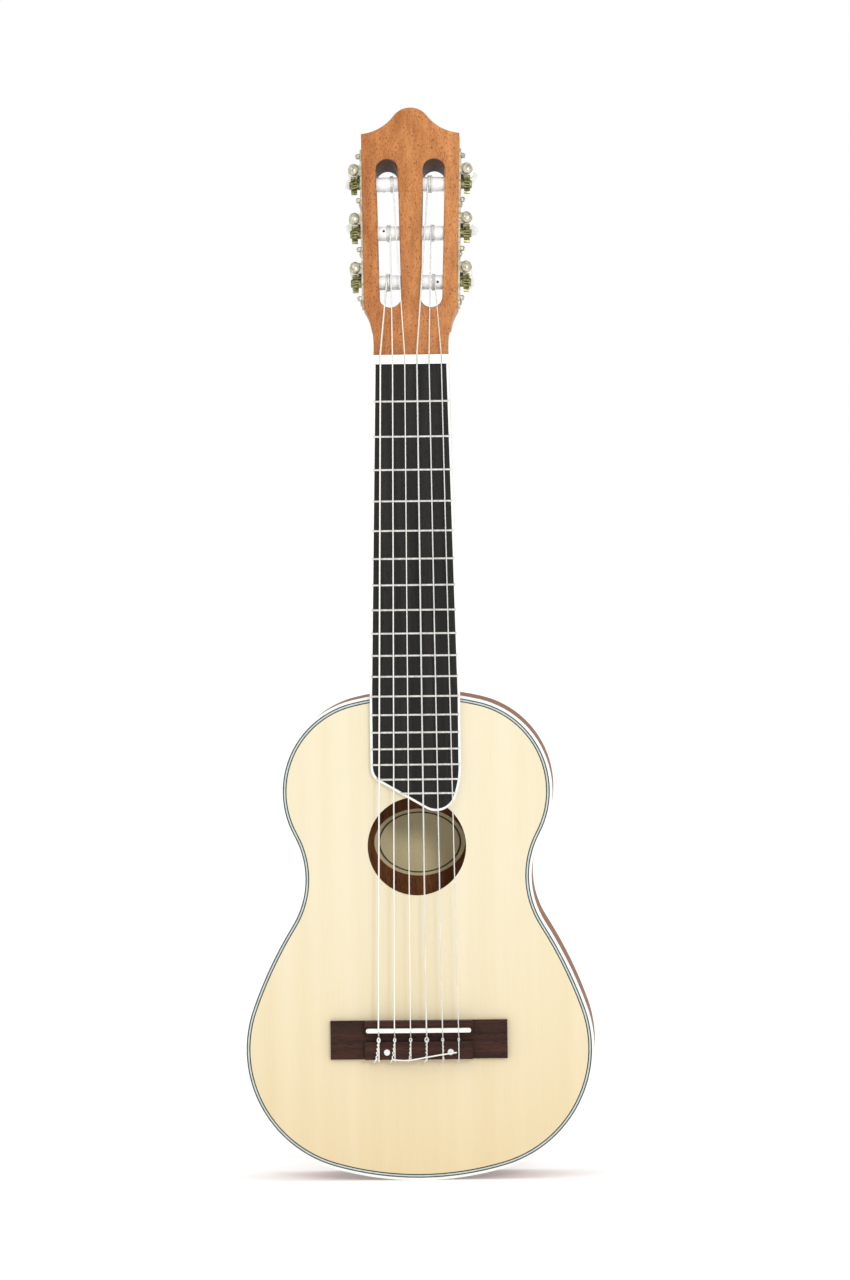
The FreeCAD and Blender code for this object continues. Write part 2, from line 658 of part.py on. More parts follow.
GEAR_PHASE = -17.0
BUTTON_TURNS = {1: 62.0, 2: 15.0, 3: -38.0, 4: 30.0, 5: -20.0, 6: 75.0}
gear_shape = solids_of([gear_wheel(GEAR_PHASE), gear_screw()])
worm_shape = worm_screw()
plate_shape = side_plate()
screw_shapes = []
for name, row in (("tuner_plate_bass", -1), ("tuner_plate_treble", 1)):
    computed(name, on_side(plate_shape, row), ROWS[row])
    for up in SCREWS_UP:
        screw = on_side(plate_screw(up), row)
        screw.Placement = ROWS[row].multiply(screw.Placement)
        screw_shapes.append(screw)
computed("plate_screws", solids_of(screw_shapes))

# String 1 is the thinnest. Strings 1 and 6 go to the rollers nearest the nut.
STATIONS = {1: (1, 0), 2: (1, 1), 3: (1, 2), 4: (-1, 2), 5: (-1, 1), 6: (-1, 0)}
ROLLER_END = 0.1
for number, (row, place) in STATIONS.items():
    up = dim("tuner_first") + place * dim("tuner_pitch")
    at_roller = ROWS[row].multiply(Placement(Vector(0, axle_deep, up), Rotation()))
    at_worm = ROWS[row].multiply(Placement(Vector(row * worm_out, 0, up + worm_up), Rotation()))
    sleeve = rod(roller_radius, -ROLLER_LONG, -ROLLER_END, 0, 0, "x")
    sleeve = sleeve.cut(rod(core_radius, -12.0, 1, 0, 0, "x"))
    computed("roller_%d" % number, on_side(sleeve, row), at_roller)
    computed("gear_%d" % number, on_side(gear_shape, row), at_roller)
    computed("worm_%d" % number, on_side(worm_shape, row), at_worm)
    computed("button_%d" % number, on_side(button(BUTTON_TURNS[number]), row), at_worm)

# ---------------------------------------------------------------- strings, nut and bridge
STRING_DIAMETERS = {1: 0.71, 2: 0.82, 3: 1.02, 4: 0.74, 5: 0.89, 6: 1.09}
WIND_ACROSS = {1: 15.6, 2: 13.4, 3: 11.6, 4: 11.6, 5: 13.4, 6: 15.6}
WIND_WAY = {1: -1, 2: 1, 3: 1, 4: 1, 5: 1, 6: -1}
WIND_TURNS = 3
STRING_AIR = 0.12
COIL_SLIM = 0.02
nut_rest = board_thick + fret_radius + 0.4
saddle_top = dim("saddle_top")
saddle_z = dim("saddle_z")
bridge_low = dim("bridge_low")
block_top = dim("bridge_block")
TIE_HIGH = 91.5
HOLE_OVER = 5.0
HOLE_RADIUS = 0.75


def tube(points, radius):
    """Straight rods through the points, with a ball at each bend."""
    parts = []
    for start, end in zip(points, points[1:]):
        parts.append(Part.makeCylinder(radius, (end - start).Length, start, end - start))
    for point in points[1:-1]:
        parts.append(Part.makeSphere(radius, point))
    return parts[0].multiFuse(parts[1:]).removeSplitter()


def touch_point(start, centre, radius):
    """Where a straight line from start meets a circle from its front, in the plane x = constant."""
    offset = Vector(0, start.y - centre.y, start.z - centre.z)
    reach = math.acos(radius / offset.Length)
    angle = math.atan2(offset.z, offset.y) - reach
    options = [math.atan2(offset.z, offset.y) + reach, angle]
    best = min(options, key=math.cos)
    return Vector(centre.x, centre.y + radius * math.cos(best), centre.z + radius * math.sin(best))


def string_x(number, pitch):
    """The place of a string across the instrument."""
    return (3.5 - number) * dim(pitch)


NOTCH_AIR = 0.03
grooves = []
holes = []
notches = []
for number, thickness in STRING_DIAMETERS.items():
    radius = thickness / 2
    row, place = STATIONS[number]
    up = dim("tuner_first") + place * dim("tuner_pitch")
    at_nut = string_x(number, "string_pitch_nut")
    at_saddle = string_x(number, "string_pitch_saddle")
    nut_front = Vector(at_nut, -nut_rest - radius, nut_z)
    nut_back = Vector(at_nut, -nut_rest - radius, neck_top)
    wind_radius = roller_radius + radius + STRING_AIR
    frame = ROWS[row].multiply(Placement(Vector(0, axle_deep, up), Rotation()))
    inwards = row * (WIND_ACROSS[number] - side_half(up))
    start = frame.inverse().multVec(nut_back)
    end = touch_point(start, Vector(inwards, 0, 0), wind_radius)
    over = block_top + radius + STRING_AIR
    under = bridge_low - radius - 0.3
    ahead = TIE_HIGH + radius + 0.3
    points = [Vector(at_saddle, -over + 1.1, ahead), Vector(at_saddle, -over, ahead),
              Vector(at_saddle, -over, under), Vector(at_saddle, -HOLE_OVER, under),
              Vector(at_saddle, -HOLE_OVER, TIE_HIGH + 0.6),
              Vector(at_saddle, -saddle_top - radius - 0.02, saddle_z),
              nut_front, nut_back, frame.multVec(end)]
    run = tube(points[4:], radius).fuse(tube(points[:5], radius))
    coils = []
    for turn in range(WIND_TURNS):
        shift = WIND_WAY[number] * row * turn * (thickness + 0.03)
        coil = Part.makeTorus(wind_radius, radius - COIL_SLIM, Vector(inwards + shift, 0, 0),
                              Vector(1, 0, 0))
        coil.Placement = frame.multiply(coil.Placement)
        coils.append(coil)
    computed("string_%d" % number, solids_of([run.fuse(coils[0]).removeSplitter()] + coils[1:]))
    slot = Part.makeBox(thickness + 0.06, 5.0, nut_thick + 2,
                        Vector(at_nut - radius - 0.03, -nut_rest - radius - 5.0, nut_z - 1))
    bed = Part.makeCylinder(radius + 0.03, nut_thick + 2, Vector(at_nut, -nut_rest - radius, nut_z - 1))
    grooves += [slot, bed]
    notches.append(Part.makeCylinder(radius + NOTCH_AIR, (points[5] - points[4]).Length, points[4],
                                     points[5] - points[4]))
    notches.append(Part.makeSphere(radius + NOTCH_AIR, points[5]))
    holes.append(Part.makeCylinder(HOLE_RADIUS, TIE_HIGH - bridge_low + 2,
                                   Vector(at_saddle, -HOLE_OVER, bridge_low - 1)))

nut_block = bind(doc.addObject("Part::Box", "nut_block"), Width="<nut_tall>", Height="<nut_thick>")
nut_block.Length = 2 * half_nut
nut_block.Placement = Placement(Vector(-half_nut, -dim("nut_tall"), nut_z), Rotation())
nut_grooves = doc.addObject("Part::Feature", "nut_grooves")
nut_grooves.Shape = Part.Compound(grooves)
nut = doc.addObject("Part::Cut", "nut")
nut.Base = nut_block
nut.Tool = nut_grooves
doc.recompute()
seat(nut, "nut")

bridge_tall = dim("bridge_tall")
saddle_thick = dim("saddle_thick")
SADDLE_SEAT = 2.6
base = box("bridge_base", (-dim("bridge_wide") / 2, -dim("bridge_wing"), bridge_low),
           Length="<bridge_wide>", Width="<bridge_wing>", Height="<bridge_tall>")
block = box("tie_block", (-dim("block_wide") / 2, -block_top, bridge_low),
            Length="<block_wide>", Width="<bridge_block>", Height="<bridge_tall>")
body = doc.addObject("Part::MultiFuse", "bridge_body")
body.Shapes = [base, block]
body.Refine = True
ramp = box("bridge_ramp", (-dim("block_wide"), -block_top - 1, TIE_HIGH))
ramp.Length = 2 * dim("block_wide")
ramp.Width = block_top + 1 - dim("bridge_wing")
ramp.Height = saddle_z - saddle_thick / 2 - TIE_HIGH - 2.4
step = box("bridge_step", (-dim("block_wide"), -block_top - 1, TIE_HIGH))
step.Length = 2 * dim("block_wide")
step.Width = 3.2
step.Height = saddle_z - saddle_thick / 2 - TIE_HIGH - 0.6
saddle_slot = box("saddle_slot", (-dim("saddle_wide") / 2, -block_top - 1, saddle_z - saddle_thick / 2),
                  Length="<saddle_wide>", Height="<saddle_thick>")
saddle_slot.Width = block_top + 1 - SADDLE_SEAT
string_holes = doc.addObject("Part::Feature", "string_holes")
string_holes.Shape = Part.Compound(holes)
cuts = doc.addObject("Part::MultiFuse", "bridge_cuts")
cuts.Shapes = [ramp, step, saddle_slot, string_holes]
slotted = doc.addObject("Part::Cut", "slotted_bridge")
slotted.Base = body
slotted.Tool = cuts
doc.recompute()

DOT_RADIUS = 2.0
DOT_X = 20.8
DOT_Z = 84.6
dot_pits = doc.addObject("Part::Feature", "dot_pits")
dot_pits.Shape = Part.Compound([Part.makeCylinder(DOT_RADIUS, 1.0, Vector(side * DOT_X, -block_top, DOT_Z),
                                                  Vector(0, 1, 0)) for side in (-1, 1)])
drilled = doc.addObject("Part::Cut", "bridge")
drilled.Base = slotted
drilled.Tool = dot_pits
doc.recompute()
seat(drilled, "bridge")
computed("bridge_dots", dot_pits.Shape.copy())

saddle_bar = box("saddle_bar", (-dim("saddle_wide") / 2, -saddle_top, saddle_z - saddle_thick / 2),
                 Length="<saddle_wide>", Width="<saddle_top> - %s" % SADDLE_SEAT, Height="<saddle_thick>")
doc.recompute()
rounded = doc.addObject("Part::Fillet", "rounded_saddle")
rounded.Base = saddle_bar
top_edges = []
for index, edge in enumerate(saddle_bar.Shape.Edges, start=1):
    if edge.BoundBox.YMax < -saddle_top + 0.01 and edge.BoundBox.XLength > 10:
        top_edges.append((index, 1.2, 1.2))
    elif edge.BoundBox.YLength > 5:
        top_edges.append((index, 1.4, 1.4))
rounded.Edges = top_edges
saddle_notches = doc.addObject("Part::Feature", "saddle_notches")
saddle_notches.Shape = Part.Compound(notches)
saddle = doc.addObject("Part::Cut", "saddle")
saddle.Base = rounded
saddle.Tool = saddle_notches
doc.recompute()
seat(saddle, "saddle")

# ---------------------------------------------------------------- check and write
doc.recompute()
for obj in doc.Objects:
    if "Invalid" in obj.State or "Error" in obj.State:
        raise RuntimeError("%s failed: %s" % (obj.Label, obj.State))
for obj in nodes:
    shape = obj.Shape
    if shape.isNull() or not shape.isValid() or not shape.Solids:
        raise RuntimeError("%s has no valid solid" % obj.Label)
for obj in nodes:
    obj.Shape.exportStep("parts/%s.step" % obj.Label)
    print("%-22s %2d solids %10.1f mm3" % (obj.Label, len(obj.Shape.Solids), obj.Shape.Volume))
print(len(nodes), "nodes")
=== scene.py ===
# %% [markdown]
# A guitalele: a small guitar with six strings, shown standing upright on its tail.
# The measured model made in CAD is loaded first as a fixed frame, and it is never moved or reshaped here.
# Blender adds what CAD doesn't hold: wood grain, lacquer, metal, pearl, and the little knots on the bridge.

# %% Load the measured guitar
import json
import math

import bmesh
import bpy
from mathutils import Matrix, Vector


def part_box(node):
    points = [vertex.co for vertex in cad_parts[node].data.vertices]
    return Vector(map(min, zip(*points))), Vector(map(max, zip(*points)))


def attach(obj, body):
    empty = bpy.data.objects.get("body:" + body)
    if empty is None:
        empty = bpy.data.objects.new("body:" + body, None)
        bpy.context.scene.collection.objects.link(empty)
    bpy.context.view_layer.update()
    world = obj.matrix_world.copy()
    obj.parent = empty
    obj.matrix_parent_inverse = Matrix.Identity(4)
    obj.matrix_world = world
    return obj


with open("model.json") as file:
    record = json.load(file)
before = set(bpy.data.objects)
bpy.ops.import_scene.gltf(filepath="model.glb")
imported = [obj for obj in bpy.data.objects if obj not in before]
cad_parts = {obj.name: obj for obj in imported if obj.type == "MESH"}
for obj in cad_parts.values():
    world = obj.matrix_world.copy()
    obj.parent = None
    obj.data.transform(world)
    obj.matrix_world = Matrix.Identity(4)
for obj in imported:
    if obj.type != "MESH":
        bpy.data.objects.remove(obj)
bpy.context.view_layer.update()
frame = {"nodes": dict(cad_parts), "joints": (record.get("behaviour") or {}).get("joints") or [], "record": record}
MM = 0.001
STRINGS = range(1, 7)
TUNERS = range(1, 7)

# %% [markdown]
# A material in Blender is a little graph of nodes. Each finish of this guitar starts the same way:
# a glossy shader, and the place of every point on the wood in metres, stretched so that a pattern
# runs along the grain. Object coordinates are used because every piece keeps its real place in its mesh.

# %% Helpers that start a finish and stretch a pattern
def start_finish(name, roughness, metallic=0.0, coat=0.0, shine=0.5):
    """A new material: its node tree and its shader, with the values that are the same all over."""
    finish = bpy.data.materials.new(name)
    finish.use_nodes = True
    tree = finish.node_tree
    shader = tree.nodes["Principled BSDF"]
    shader.inputs["Roughness"].default_value = roughness
    shader.inputs["Metallic"].default_value = metallic
    shader.inputs["Coat Weight"].default_value = coat
    shader.inputs["Specular IOR Level"].default_value = shine
    shader.inputs["Coat Roughness"].default_value = 0.12
    return finish, tree, shader


def place(tree, stretch=(1, 1, 1), move=(0, 0, 0)):
    """Object coordinates, stretched along each axis and moved."""
    where = tree.nodes.new("ShaderNodeTexCoord")
    mapping = tree.nodes.new("ShaderNodeMapping")
    mapping.inputs["Scale"].default_value = stretch
    mapping.inputs["Location"].default_value = move
    tree.links.new(where.outputs["Object"], mapping.inputs["Vector"])
    return mapping.outputs["Vector"]


def speckle(tree, stretch, detail=3.0, rough=0.55):
    """Smooth random variation from 0 to 1, stretched into streaks."""
    noise = tree.nodes.new("ShaderNodeTexNoise")
    noise.inputs["Scale"].default_value = 1.0
    noise.inputs["Detail"].default_value = detail
    noise.inputs["Roughness"].default_value = rough
    tree.links.new(place(tree, stretch), noise.inputs["Vector"])
    return noise.outputs["Fac"]


def ramp(tree, factor, *stops):
    """Colours or greys along a factor: (position, colour) pairs."""
    node = tree.nodes.new("ShaderNodeValToRGB")
    points = node.color_ramp.elements
    while len(points) < len(stops):
        points.new(0.5)
    for point, (position, colour) in zip(points, stops):
        point.position = position
        point.color = (*colour, 1.0) if isinstance(colour, tuple) else (colour, colour, colour, 1.0)
    tree.links.new(factor, node.inputs["Fac"])
    return node.outputs["Color"]


def blend_colours(tree, factor, first, second, kind="MIX"):
    """One colour over another, by a factor."""
    mix = tree.nodes.new("ShaderNodeMix")
    mix.data_type = "RGBA"
    mix.blend_type = kind
    for socket, value in ((mix.inputs[0], factor), (mix.inputs[6], first), (mix.inputs[7], second)):
        if isinstance(value, bpy.types.NodeSocket):
            tree.links.new(value, socket)
        elif isinstance(value, tuple):
            socket.default_value = (*value, 1.0)
        else:
            socket.default_value = value
    return mix.outputs[2]


def emboss(tree, shader, height, strength, depth):
    """Small relief from a grey pattern; depth is in metres."""
    bump = tree.nodes.new("ShaderNodeBump")
    bump.inputs["Strength"].default_value = strength
    bump.inputs["Distance"].default_value = depth
    tree.links.new(height, bump.inputs["Height"])
    tree.links.new(bump.outputs["Normal"], shader.inputs["Normal"])


def colour_and_sheen(tree, shader, colour, gloss_pattern, low, high):
    """Links the colour, and a roughness that wanders between two values."""
    tree.links.new(colour, shader.inputs["Base Color"])
    tree.links.new(ramp(tree, gloss_pattern, (0.3, low), (0.7, high)), shader.inputs["Roughness"])


print("helpers ready")

# %% [markdown]
# The top is a spruce board cut on the quarter: pale cream, with straight growth lines about a
# millimetre apart that run up the guitar. A wave texture gives the lines, and noise
# bends them a little and makes some years wider than others. The top is darker and more yellow towards the tail.

# %% Spruce for the top
def spruce():
    finish, tree, shader = start_finish("spruce_top", 0.40, coat=0.08)
    lines = tree.nodes.new("ShaderNodeTexWave")
    lines.wave_type = "BANDS"
    lines.bands_direction = "X"
    lines.wave_profile = "SAW"
    lines.inputs["Scale"].default_value = 255.0
    lines.inputs["Distortion"].default_value = 2.2
    lines.inputs["Detail"].default_value = 2.0
    lines.inputs["Detail Scale"].default_value = 0.35
    tree.links.new(place(tree, (1, 1, 0.04)), lines.inputs["Vector"])
    boards = speckle(tree, (55, 1, 1.3), detail=2.0)
    fibres = speckle(tree, (2600, 1, 45), detail=2.0)
    wood = ramp(tree, boards, (0.25, (0.675, 0.590, 0.395)), (0.75, (0.720, 0.645, 0.470)))
    years = ramp(tree, lines.outputs["Fac"], (0.0, 1.0), (0.70, 0.985), (0.95, 0.86), (1.0, 1.0))
    wood = blend_colours(tree, 0.55, wood, years, "MULTIPLY")
    silk = ramp(tree, fibres, (0.35, 0.95), (0.65, 1.0))
    wood = blend_colours(tree, 0.6, wood, silk, "MULTIPLY")
    height = tree.nodes.new("ShaderNodeSeparateXYZ")
    tree.links.new(place(tree, (1, 1, 5.0)), height.inputs["Vector"])
    tail_tint = ramp(tree, height.outputs["Z"], (0.0, (0.955, 0.87, 0.735)), (0.65, (1.0, 0.975, 0.93)),
                (1.0, (1.0, 1.0, 1.0)))
    wood = blend_colours(tree, 1.0, wood, tail_tint, "MULTIPLY")
    colour_and_sheen(tree, shader, wood, boards, 0.30, 0.40)
    emboss(tree, shader, lines.outputs["Fac"], 0.06, 0.00008)
    return finish


finishes = {"spruce_top": spruce()}
print("spruce ready")

# %% [markdown]
# Mahogany has open pores: short dark dashes along the grain, over bands that are a little lighter
# or darker. The same recipe, with other colours and another direction, also gives the rosewood of
# the bridge and the dark fretboard, so it is written once with the colours left open.

# %% One recipe for the darker woods
PORES_FROM = 0.60
PORES_FULL = 0.67


def open_pored_wood(name, dark, light, pore, grain, gloss, shine=0.25):
    """Wood whose grain runs along "z" or "x"."""
    def along(across, length):
        return (length, across, across) if grain == "x" else (across, across, length)

    finish, tree, shader = start_finish(name, gloss, shine=shine)
    bands = speckle(tree, along(210, 7), detail=4.0, rough=0.6)
    broad = speckle(tree, along(38, 3), detail=2.0)
    dashes = speckle(tree, along(2300, 190), detail=1.0, rough=0.4)
    flecks = speckle(tree, along(1300, 95), detail=2.0)
    wood = ramp(tree, bands, (0.30, dark), (0.70, light))
    tone = ramp(tree, broad, (0.30, 0.84), (0.70, 1.06))
    wood = blend_colours(tree, 0.8, wood, tone, "MULTIPLY")
    shimmer = ramp(tree, flecks, (0.35, 0.86), (0.65, 1.0))
    wood = blend_colours(tree, 0.7, wood, shimmer, "MULTIPLY")
    where = ramp(tree, dashes, (PORES_FROM, 0.0), (PORES_FULL, 1.0))
    wood = blend_colours(tree, where, wood, pore)
    colour_and_sheen(tree, shader, wood, bands, gloss - 0.06, gloss + 0.08)
    emboss(tree, shader, ramp(tree, dashes, (PORES_FROM, 1.0), (PORES_FULL, 0.0)), 0.25, 0.0001)
    return finish


finishes["neck_mahogany"] = open_pored_wood(
    "neck_mahogany", (0.38, 0.130, 0.034), (0.58, 0.240, 0.075), (0.20, 0.060, 0.016), "z", 0.44)
finishes["body_mahogany"] = open_pored_wood(
    "body_mahogany", (0.21, 0.074, 0.026), (0.34, 0.135, 0.050), (0.10, 0.032, 0.012), "z", 0.48, shine=0.05)
finishes["dark_fretboard"] = open_pored_wood(
    "dark_fretboard", (0.008, 0.0085, 0.0085), (0.026, 0.023, 0.020), (0.006, 0.006, 0.006), "z", 0.5,
    shine=0.12)
finishes["bridge_rosewood"] = open_pored_wood(
    "bridge_rosewood", (0.015, 0.0065, 0.005), (0.066, 0.021, 0.011), (0.008, 0.004, 0.003), "x", 0.46,
    shine=0.15)
finishes["inner_wood"] = open_pored_wood(
    "inner_wood", (0.36, 0.20, 0.10), (0.50, 0.31, 0.17), (0.22, 0.11, 0.05), "z", 0.65)
print(len(finishes), "woods ready")

# %% [markdown]
# The headstock is the same mahogany, with painted light of its own. The walls of its string slots are
# painted much darker than the polished face, as the shade inside the slots, and the board is painted
# lighter towards the treble side, as light falling from that side. Both need to know where a point is on the
# leaning face, so the coordinates are turned back by the lean of the head, and measured in millimetres.

# %% Mahogany for the headstock, with painted shade and painted light
def measure(tree, kind, first, second):
    """A small sum or comparison between two numbers."""
    node = tree.nodes.new("ShaderNodeMath")
    node.operation = kind
    for socket, value in zip(node.inputs, (first, second)):
        if isinstance(value, bpy.types.NodeSocket):
            tree.links.new(value, socket)
        else:
            socket.default_value = value
    return node.outputs["Value"]


def all_of(tree, *conditions):
    """Near 1 where every condition holds, and 0 where one of them fails."""
    together = conditions[0]
    for condition in conditions[1:]:
        together = measure(tree, "MULTIPLY", together, condition)
    return together


HEAD_LEAN = math.radians(14.0)
FACE_FOOT = Vector((0.0, -36.0, 538.5))
HEAD_HALF_WIDTH = 34.0
SLOTS_OUTSIDE = 23.2
SLOTS_BACK = 15.3
SLOTS_LOW = 30.0
SLOTS_HIGH = 137.0
# Painted shade: the slot walls are coloured dark, as the shade inside the string slots.
SLOT_SHADE_SHARE = 0.96
SLOT_SHADE_COLOUR = (0.040, 0.013, 0.008)


def headstock_mahogany():
    finish = finishes["neck_mahogany"].copy()
    finish.name = "headstock_mahogany"
    tree = finish.node_tree
    shader = tree.nodes["Principled BSDF"]
    wood = shader.inputs["Base Color"].links[0].from_socket
    upright = tree.nodes.new("ShaderNodeMapping")
    upright.inputs["Scale"].default_value = (1000, 1000, 1000)
    upright.inputs["Rotation"].default_value = (HEAD_LEAN, 0, 0)
    upright.inputs["Location"].default_value = -(Matrix.Rotation(HEAD_LEAN, 3, "X") @ FACE_FOOT)
    tree.links.new(place(tree), upright.inputs["Vector"])
    on_head = tree.nodes.new("ShaderNodeSeparateXYZ")
    tree.links.new(upright.outputs["Vector"], on_head.inputs["Vector"])
    across = measure(tree, "ADD", on_head.outputs["X"], HEAD_HALF_WIDTH)
    across = measure(tree, "DIVIDE", across, 2 * HEAD_HALF_WIDTH)
    # Painted light: the board is darkened on the bass side and brightened on the treble side, as if lit from the
    # treble side.
    painted_side_light = ramp(tree, across, (0.05, (0.86, 0.80, 0.72)), (0.5, (1.0, 1.0, 1.0)),
                     (0.95, (1.10, 1.16, 1.24)))
    wood = blend_colours(tree, 1.0, wood, painted_side_light, "MULTIPLY")
    from_middle = measure(tree, "ABSOLUTE", on_head.outputs["X"], 0.0)
    # Where the painted shade goes: the slot walls, just behind the face.
    slot_shade_mask = all_of(tree,
                  ramp(tree, measure(tree, "DIVIDE", on_head.outputs["Y"], 10.0), (0.05, 0.0), (0.16, 1.0)),
                  measure(tree, "LESS_THAN", from_middle, SLOTS_OUTSIDE),
                  measure(tree, "LESS_THAN", on_head.outputs["Y"], SLOTS_BACK),
                  measure(tree, "GREATER_THAN", on_head.outputs["Z"], SLOTS_LOW),
                  measure(tree, "LESS_THAN", on_head.outputs["Z"], SLOTS_HIGH))
    wood = blend_colours(tree, measure(tree, "MULTIPLY", slot_shade_mask, SLOT_SHADE_SHARE), wood, SLOT_SHADE_COLOUR)
    tree.links.new(wood, shader.inputs["Base Color"])
    return finish


finishes["headstock_mahogany"] = headstock_mahogany()
print("headstock wood ready")

# %% [markdown]
# Plastic, bone and paper look plain from far off, but close up each has a faint cloud in its colour
# and a surface that isn't evenly shiny. Pearl is made of patches that each lean to another pale
# tint, so a cell texture colours it.

# %% Plastic, bone, pearl and paper
def cloudy(name, dark, light, gloss, size, coat=0.0):
    """A pale or dark material with a faint cloud of colour; size is in patches per metre."""
    finish, tree, shader = start_finish(name, gloss, coat=coat)
    cloud = speckle(tree, (size, size, size), detail=4.0)
    fine = speckle(tree, (size * 14, size * 14, size * 14), detail=2.0)
    colour_and_sheen(tree, shader, ramp(tree, cloud, (0.3, dark), (0.7, light)), fine,
                     gloss - 0.05, gloss + 0.07)
    emboss(tree, shader, fine, 0.03, 0.0001)
    return finish


def pearl(name, size):
    """Pearl: soft patches of pale tints under a clear coat."""
    finish, tree, shader = start_finish(name, 0.22, coat=0.4)
    swirl = tree.nodes.new("ShaderNodeTexNoise")
    swirl.inputs["Scale"].default_value = size * 0.6
    swirl.inputs["Distortion"].default_value = 2.4
    patches = tree.nodes.new("ShaderNodeTexVoronoi")
    patches.feature = "SMOOTH_F1"
    patches.inputs["Scale"].default_value = size
    tree.links.new(place(tree), swirl.inputs["Vector"])
    tree.links.new(place(tree), patches.inputs["Vector"])
    body = ramp(tree, swirl.outputs["Fac"], (0.3, (0.58, 0.58, 0.57)), (0.5, (0.74, 0.74, 0.72)),
                (0.7, (0.66, 0.67, 0.67)))
    glow = ramp(tree, patches.outputs["Distance"], (0.1, (1.0, 1.0, 1.0)), (0.8, (0.88, 0.90, 0.92)))
    colour_and_sheen(tree, shader, blend_colours(tree, 0.7, body, glow, "MULTIPLY"),
                     swirl.outputs["Fac"], 0.16, 0.30)
    emboss(tree, shader, swirl.outputs["Fac"], 0.04, 0.0002)
    return finish


finishes["white_binding"] = cloudy("white_binding", (0.72, 0.73, 0.70), (0.79, 0.80, 0.77), 0.30, 120, 0.1)
finishes["black_line"] = cloudy("black_line", (0.010, 0.022, 0.022), (0.026, 0.044, 0.042), 0.55, 200)
finishes["pale_line"] = cloudy("pale_line", (0.40, 0.45, 0.43), (0.52, 0.57, 0.55), 0.50, 200)
finishes["white_bone"] = cloudy("white_bone", (0.80, 0.79, 0.72), (0.87, 0.87, 0.82), 0.30, 260, 0.2)
finishes["white_roller"] = cloudy("white_roller", (0.76, 0.77, 0.76), (0.84, 0.84, 0.83), 0.32, 220, 0.2)
finishes["pearl_dot"] = pearl("pearl_dot", 900)
finishes["pearl_button"] = pearl("pearl_button", 330)
print(len(finishes), "finishes so far")

# %% [markdown]
# Inside the body, an oval paper label is glued to the back under the soundhole. It is cream, with one
# thin dark line near its edge and nothing written on it. The line is worked out from the oval's own
# formula: a point is on it when its distance, measured in half widths and half heights, is about 0.9.

# %% Paper for the label
def label_paper():
    low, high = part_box("label")
    middle = (low + high) / 2
    half = (high - low) / 2
    finish, tree, shader = start_finish("label_paper", 0.75)
    flat = place(tree, (1 / half.x, 0.0, 1 / half.z), (-middle.x / half.x, 0.0, -middle.z / half.z))
    reach = tree.nodes.new("ShaderNodeVectorMath")
    reach.operation = "LENGTH"
    tree.links.new(flat, reach.inputs[0])
    line = ramp(tree, reach.outputs["Value"], (0.865, 0.0), (0.880, 1.0), (0.905, 1.0), (0.920, 0.0))
    fibres = speckle(tree, (900, 900, 900), detail=4.0)
    paper = ramp(tree, fibres, (0.3, (0.92, 0.77, 0.42)), (0.7, (0.97, 0.85, 0.53)))
    colour_and_sheen(tree, shader, blend_colours(tree, line, paper, (0.10, 0.06, 0.03)), fibres, 0.7, 0.85)
    emboss(tree, shader, fibres, 0.1, 0.0001)
    print("label is", round(half.x * 2 / MM, 1), "by", round(half.z * 2 / MM, 1), "mm")
    return finish


finishes["label_paper"] = label_paper()

# %% [markdown]
# The metal parts are nickel-plated plates, steel worms and brass gears. Metal gets its look from what it
# reflects, so its colour varies only a little, and fine scratches and a dull film break up the shine.

# %% Metals
def metal(name, dull, bright, gloss, scratch):
    """Metal with scratches; scratch is how the scratches are stretched."""
    finish, tree, shader = start_finish(name, gloss, metallic=1.0)
    film = speckle(tree, (420, 420, 420), detail=5.0)
    scratches = speckle(tree, scratch, detail=3.0)
    colour_and_sheen(tree, shader, ramp(tree, film, (0.32, dull), (0.62, bright)), scratches,
                     gloss - 0.08, gloss + 0.14)
    emboss(tree, shader, scratches, 0.08, 0.00006)
    return finish


finishes["fret_wire"] = metal("fret_wire", (0.50, 0.49, 0.45), (0.72, 0.71, 0.67), 0.24, (60, 4000, 4000))
finishes["tuner_plate_metal"] = metal("tuner_plate_metal", (0.28, 0.25, 0.16), (0.62, 0.59, 0.48), 0.28,
                                      (3000, 3000, 200))
finishes["worm_steel"] = metal("worm_steel", (0.46, 0.43, 0.34), (0.76, 0.74, 0.66), 0.26, (3000, 300, 3000))
finishes["gear_brass"] = metal("gear_brass", (0.10, 0.095, 0.040), (0.42, 0.40, 0.20), 0.34,
                               (200, 2500, 2500))
print(len(finishes), "finishes so far")

# %% [markdown]
# The three thin strings are clear nylon. The three thick ones have a silvery wire wound round a core.
# The winding is far too fine to model turn by turn, so a wave texture along the string
# raises it as a bump and paints shade into the grooves between turns, three turns to the millimetre.

# %% Nylon and wound strings
def nylon():
    finish, tree, shader = start_finish("string_treble", 0.25, coat=0.3)
    shader.inputs["Transmission Weight"].default_value = 0.25
    cloud = speckle(tree, (900, 900, 60), detail=2.0)
    colour_and_sheen(tree, shader, ramp(tree, cloud, (0.3, (0.70, 0.70, 0.66)), (0.7, (0.82, 0.82, 0.79))),
                     cloud, 0.20, 0.32)
    emboss(tree, shader, cloud, 0.03, 0.0001)
    return finish


